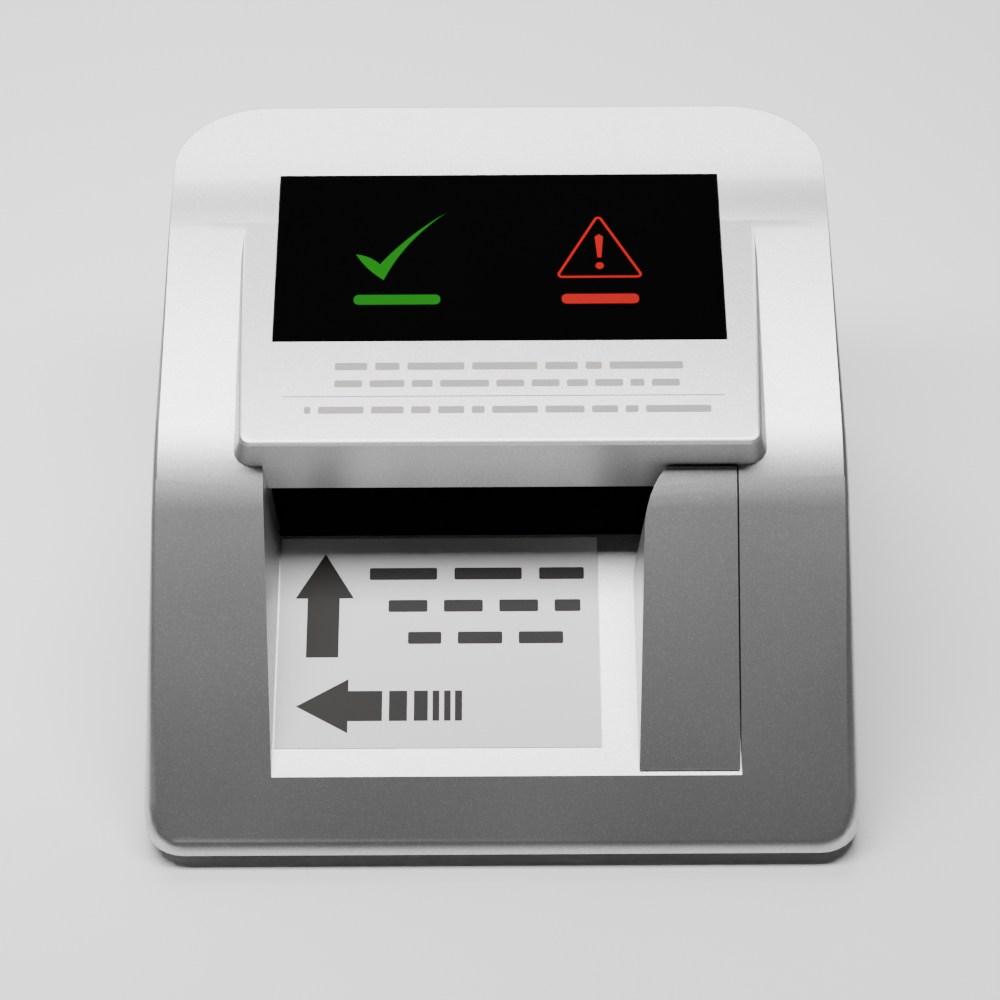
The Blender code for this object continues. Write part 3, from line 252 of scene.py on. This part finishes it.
window = frame["nodes"]["display_window"]
SMOKE = finish("smoked_acrylic", (0.0008, 0.0008, 0.0008), (0.0014, 0.0014, 0.0014), (0.03, 0.07),
               broad=30.0, fine=900.0, amount=0.6, relief=0.01, depth=0.01 * MM)
SMOKE.node_tree.nodes["Principled BSDF"].inputs["Specular IOR Level"].default_value = 0.15
window.data.materials.clear()
window.data.materials.append(SMOKE)

# The head's plane, from the window's own top face
HEAD_TILT = math.radians(12.8)
along_head = Vector((0.0, math.cos(HEAD_TILT), math.sin(HEAD_TILT)))
off_head = Vector((0.0, -math.sin(HEAD_TILT), math.cos(HEAD_TILT)))
window_top = max(v.co.dot(off_head) for v in window.data.vertices)
top_corners = [v.co for v in window.data.vertices if abs(v.co.dot(off_head) - window_top) < 0.01 * MM]
window_start = min(corner.dot(along_head) for corner in top_corners)


def head_matrix(lift):
    """Turns flat (x, s) art into the head's plane, s measured from the window's front edge."""
    base = along_head * window_start + off_head * (window_top + lift)
    matrix = Matrix((Vector((1, 0, 0)), along_head, off_head)).transposed().to_4x4()
    matrix.translation = base
    return matrix


def flat_art(shape, outlines, thick):
    """Adds flat outlines, each raised by an ink's thickness, to a bmesh."""
    for outline in outlines:
        face = shape.faces.new([shape.verts.new((x, y, 0.0)) for x, y in outline])
        raised = bmesh.ops.extrude_face_region(shape, geom=[face])
        verts = [item for item in raised["geom"] if isinstance(item, bmesh.types.BMVert)]
        bmesh.ops.translate(shape, verts=verts, vec=(0.0, 0.0, thick))


def bar(x0, x1, y0, y1, corner=0.0):
    """A rectangle, with rounded ends where a corner radius is given."""
    if corner <= 0.0:
        return [(x0, y0), (x1, y0), (x1, y1), (x0, y1)]
    points = []
    steps = 4
    for cx, cy, start in ((x1 - corner, y0 + corner, -90), (x1 - corner, y1 - corner, 0),
                          (x0 + corner, y1 - corner, 90), (x0 + corner, y0 + corner, 180)):
        for step in range(steps + 1):
            angle = math.radians(start + step * 90 / steps)
            points.append((cx + corner * math.cos(angle), cy + corner * math.sin(angle)))
    return points


INK_THICK = 0.03 * MM
PAD_INK_THICK = 0.02 * MM


def printed(name, outlines, material, matrix, thick=INK_THICK):
    """Flat art of one ink, laid on a plane."""
    shape = bmesh.new()
    flat_art(shape, outlines, thick)
    bmesh.ops.transform(shape, verts=shape.verts, matrix=matrix)
    return place_piece(name, shape, material)


def ink_with_painted_glow(name, colour, painted_glow):
    """A flat ink with a faint painted glow: emission in the ink's own colour, with no lamp behind it."""
    made = finish(name, tuple(c * 0.8 for c in colour), colour, (0.5, 0.6), amount=0.5, relief=0.03)
    shader = made.node_tree.nodes["Principled BSDF"]
    shader.inputs["Specular IOR Level"].default_value = 0.05
    shader.inputs["Emission Strength"].default_value = painted_glow
    tint = shader.inputs["Base Color"].links[0].from_socket
    made.node_tree.links.new(tint, shader.inputs["Emission Color"])
    return made


# Painted glow: both inks emit a little light in their own colour, so the marks read brighter than printed
# ink would.
GREEN_INK = ink_with_painted_glow("green_ink", (0.0, 0.11, 0.0), 0.10)
RED_INK = ink_with_painted_glow("red_ink", (0.30, 0.0, 0.0), 0.16)
ON_WINDOW = head_matrix(0.01 * MM)


def curve_between(start, end, bulge, steps):
    """Points, in metres, along a shallow arc in millimetres from start towards end, end left out."""
    length = math.hypot(end[0] - start[0], end[1] - start[1])
    points = []
    for step in range(steps):
        t = step / steps
        x = start[0] + (end[0] - start[0]) * t
        y = start[1] + (end[1] - start[1]) * t
        lean = 4 * bulge * t * (1 - t)
        x -= lean * (end[1] - start[1]) / length
        y += lean * (end[0] - start[0]) / length
        points.append((x * MM, y * MM))
    return points


TICK_LEFT = (-28.4, 21.3)
TICK_INNER = (-23.6, 18.8)
TICK_TIP = (-10.5, 31.7)
TICK_FOOT = (-22.8, 14.9)
tick = (curve_between(TICK_LEFT, TICK_INNER, 0.5, 5) + curve_between(TICK_INNER, TICK_TIP, 0.7, 10)
        + curve_between(TICK_TIP, TICK_FOOT, -1.3, 12) + curve_between(TICK_FOOT, TICK_LEFT, 0.5, 6))
printed("pass_tick", [tick], GREEN_INK, ON_WINDOW)

BAR_LOW = 8.9 * MM
BAR_HIGH = 11.3 * MM
BAR_CORNER = 1.0 * MM
for name, left, right, ink in (("pass_bar", -28.6 * MM, -11.6 * MM, GREEN_INK),
                               ("fail_bar", 12.2 * MM, 27.4 * MM, RED_INK)):
    printed(name, [bar(left, right, BAR_LOW, BAR_HIGH, BAR_CORNER)], ink, ON_WINDOW)


SIGN_X = 19.8 * MM
SIGN_Y = 20.0 * MM
SIGN_CORNER = 0.9 * MM
SIGN_LINE = 0.55 * MM
SIGN_SHRINK = 0.93


def triangle(drawn_in):
    """The warning triangle's outline with rounded corners, drawn in by an amount."""
    radius = SIGN_CORNER - drawn_in
    points = []
    for corner in ((0.0, 10.3), (-8.0, -4.2), (8.0, -4.2)):
        cx = SIGN_X + corner[0] * SIGN_SHRINK * MM
        cy = SIGN_Y + corner[1] * SIGN_SHRINK * MM
        facing = math.atan2(corner[1] - 0.6, corner[0])
        for step in range(7):
            angle = facing + math.radians(-60 + step * 20)
            points.append((cx + radius * math.cos(angle), cy + radius * math.sin(angle)))
    return points


triangle_shape = bmesh.new()
outer = [triangle_shape.verts.new((x, y, 0.0)) for x, y in triangle(0.0)]
inner = [triangle_shape.verts.new((x, y, 0.0)) for x, y in triangle(SIGN_LINE)]
for k in range(len(outer)):
    follow = (k + 1) % len(outer)
    triangle_shape.faces.new((outer[k], outer[follow], inner[follow], inner[k]))
raised = bmesh.ops.extrude_face_region(triangle_shape, geom=list(triangle_shape.faces))
raised_verts = [item for item in raised["geom"] if isinstance(item, bmesh.types.BMVert)]
bmesh.ops.translate(triangle_shape, verts=raised_verts, vec=(0.0, 0.0, INK_THICK))
bmesh.ops.transform(triangle_shape, verts=triangle_shape.verts, matrix=ON_WINDOW)
place_piece("fail_triangle", triangle_shape, RED_INK)

MARK_X = 19.85 * MM
DOT_Y = 18.2 * MM
DOT_RADIUS = 0.85 * MM
mark = [(MARK_X - 0.85 * MM, 25.4 * MM), (MARK_X - 0.4 * MM, 20.2 * MM), (MARK_X + 0.4 * MM, 20.2 * MM),
        (MARK_X + 0.85 * MM, 25.4 * MM), (MARK_X, 26.1 * MM)]
turns = [step * math.tau / 20 for step in range(20)]
dot = [(MARK_X + DOT_RADIUS * math.cos(turn), DOT_Y + DOT_RADIUS * math.sin(turn)) for turn in turns]
printed("fail_mark", [mark, dot], RED_INK, ON_WINDOW)


# ---------------------------------------------------------------- legend on the head
# Grey ink pad-printed on the paint below the window: three rows of short dashes stand where a
# user's hint would be printed, with a thin rule over the last one.

GREY_INK = finish("grey_ink", (0.22, 0.21, 0.20), (0.27, 0.26, 0.25), (0.4, 0.5), metal=0.1,
                  amount=0.8, relief=0.05)
ON_HEAD = head_matrix(0.31 * MM)


DASH_CORNER = 0.35 * MM


def dashes(x0, x1, y0, y1, words, gap):
    """Dashes as long as words, filling a row that is given in millimetres."""
    total = sum(words)
    room = (x1 - x0) - gap * (len(words) - 1)
    places = []
    x = x0
    for word in words:
        wide = room * word / total
        places.append(bar(x * MM, (x + wide) * MM, y0 * MM, y1 * MM, DASH_CORNER))
        x += wide + gap
    return places


legend = dashes(-31.8, 35.3, -6.9, -5.2, (4, 3, 7, 8, 4, 2, 9), 1.5)
legend += dashes(-31.8, 34.5, -10.9, -9.3, (4, 5, 3, 7, 4, 4, 3, 4, 2, 4), 1.4)
legend += dashes(-37.4, 40.3, -17.0, -15.4, (1, 7, 5, 3, 4, 2, 7, 6, 4, 2, 10), 1.4)
legend.append(bar(-41.6 * MM, 43.0 * MM, -13.15 * MM, -12.95 * MM))
printed("head_legend", legend, GREY_INK, ON_HEAD, PAD_INK_THICK)


# ---------------------------------------------------------------- tray label
# A semi-gloss white film stuck in a shallow recess of the tray's floor, printed in dark grey with
# an arrow to the mouth, an arrow to the left wall with its trail, and three rows of dashes.

label = frame["nodes"]["tray_label"]
FILM = finish("label_film", (0.72, 0.72, 0.71), (0.78, 0.78, 0.77), (0.28, 0.36), broad=30.0, fine=1500.0,
              amount=0.5, relief=0.04, depth=0.01 * MM)
label.data.materials.clear()
label.data.materials.append(FILM)
PATH_TILT = math.radians(17.3)
along_path = Vector((0.0, math.cos(PATH_TILT), math.sin(PATH_TILT)))
off_path = Vector((0.0, -math.sin(PATH_TILT), math.cos(PATH_TILT)))
label_top = max(v.co.dot(off_path) for v in label.data.vertices)
label_back = max(v.co.dot(along_path) for v in label.data.vertices)
ON_LABEL = Matrix((Vector((1, 0, 0)), along_path, off_path)).transposed().to_4x4()
ON_LABEL.translation = along_path * label_back + off_path * (label_top + 0.005 * MM)

DARK_INK = finish("dark_ink", (0.010, 0.008, 0.007), (0.014, 0.012, 0.010), (0.45, 0.55), amount=0.7,
                  relief=0.05)
DARK_INK.node_tree.nodes["Principled BSDF"].inputs["Specular IOR Level"].default_value = 0.2

# Both outlines start at the arrow's tip. In millimetres: x across the frame, and y measured
# along the tray from the label's back edge.
TRAIL_LOW = -39.3
TRAIL_HIGH = -33.0
up_arrow = [(-34.7, -3.5), (-40.4, -13.2), (-38.0, -13.2), (-38.0, -25.9), (-31.7, -25.9),
            (-31.7, -13.2), (-28.9, -13.2)]
left_arrow = [(-39.6, -36.2), (-29.6, -30.5), (-29.6, TRAIL_HIGH), (-23.0, TRAIL_HIGH),
              (-23.0, TRAIL_LOW), (-29.6, TRAIL_LOW), (-29.6, -41.8)]
art = [[(x * MM, y * MM) for x, y in arrow] for arrow in (up_arrow, left_arrow)]
for x0, x1 in ((-21.7, -18.2), (-16.9, -14.2), (-13.3, -12.0), (-11.1, -9.8), (-9.0, -7.6)):
    art.append(bar(x0 * MM, x1 * MM, TRAIL_LOW * MM, TRAIL_HIGH * MM))
art += dashes(-25.9, 16.4, -9.2, -6.6, (6, 6, 4), 3.4)
art += dashes(-22.1, 15.6, -16.2, -13.6, (3, 3, 3, 2), 3.2)
art += dashes(-18.2, 12.1, -23.1, -20.5, (3, 4, 4), 3.2)
printed("label_print", art, DARK_INK, ON_LABEL, PAD_INK_THICK)


# ---------------------------------------------------------------- dark base and rear fittings
# The base is a grained dark ABS tray screwed up into the case. Its upright rear panel carries the
# rocker switch, the power jack and the update port, each a moulding with its own fine edges.

DARK = finish("dark_plastic", (0.022, 0.022, 0.024), (0.04, 0.04, 0.043), (0.5, 0.66), broad=45.0,
              fine=2200.0, amount=1.0, relief=0.5, depth=0.04 * MM)
BLACK = finish("black_plastic", (0.008, 0.007, 0.007), (0.016, 0.014, 0.013), (0.38, 0.5),
               fine=1800.0, relief=0.2, depth=0.03 * MM)
moulded_copy("base_shell", "base_tray", DARK, 0.25 * MM)
moulded_copy("switch_housing", "switch_bezel", BLACK, 0.35 * MM)
moulded_copy("power_rocker", "switch_rocker", BLACK, 0.4 * MM, 3, body="power_rocker")
moulded_copy("power_jack", "power_socket", BLACK, 0.15 * MM)

SLEEVE = finish("plated_shell", (0.50, 0.50, 0.49), (0.66, 0.66, 0.65), (0.2, 0.34), metal=1.0,
                broad=200.0, fine=1500.0, relief=0.05)
moulded_copy("update_port", "port_shell", SLEEVE, 0.12 * MM)


# ---------------------------------------------------------------- everything inside
# The rest keeps its own shape: guide plates, shafts, rollers, gears, boards and fixings, each in
# the finish of its stuff, from matte rubber and natural nylon to ground and plated steel.

INSIDE = {
    "dark_plastic": DARK,
    "black_plastic": BLACK,
    "silver_paint": SILVER,
    "smoked_acrylic": SMOKE,
    "label_film": FILM,
    "clear_acrylic": finish("clear_acrylic", (0.55, 0.60, 0.63), (0.68, 0.72, 0.74), (0.05, 0.1),
                            amount=0.5, relief=0.01),
    "white_plastic": finish("white_plastic", (0.66, 0.66, 0.63), (0.74, 0.74, 0.72), (0.35, 0.5),
                            amount=0.8, relief=0.1),
    "circuit_board": finish("circuit_board", (0.008, 0.10, 0.04), (0.03, 0.2, 0.08), (0.3, 0.5),
                            broad=420.0, fine=1600.0, amount=1.6, relief=0.3, depth=0.03 * MM, coat=0.3),
    "steel": finish("plated_steel", (0.42, 0.43, 0.44), (0.62, 0.62, 0.61), (0.24, 0.42),
                    metal=1.0, broad=90.0, fine=1800.0, amount=1.2, relief=0.12),
    "rubber": finish("matte_rubber", (0.012, 0.012, 0.012), (0.03, 0.029, 0.028), (0.75, 0.92),
                     broad=120.0, fine=1500.0, amount=1.0, relief=0.5, depth=0.05 * MM),
    "nylon": finish("natural_nylon", (0.60, 0.57, 0.48), (0.74, 0.71, 0.62), (0.35, 0.5),
                    amount=0.8, relief=0.1),
    "sintered_bronze": finish("sintered_bronze", (0.30, 0.17, 0.06), (0.52, 0.34, 0.14), (0.35, 0.55),
                              metal=1.0, broad=250.0, fine=2600.0, amount=1.4, relief=0.4,
                              depth=0.03 * MM),
}
for part in frame["record"]["subparts"]:
    node = frame["nodes"][part["node"]]
    if node.hide_render or part["node"] in ("display_window", "tray_label"):
        continue
    node.data.materials.clear()
    node.data.materials.append(INSIDE[part["material_slot"]])
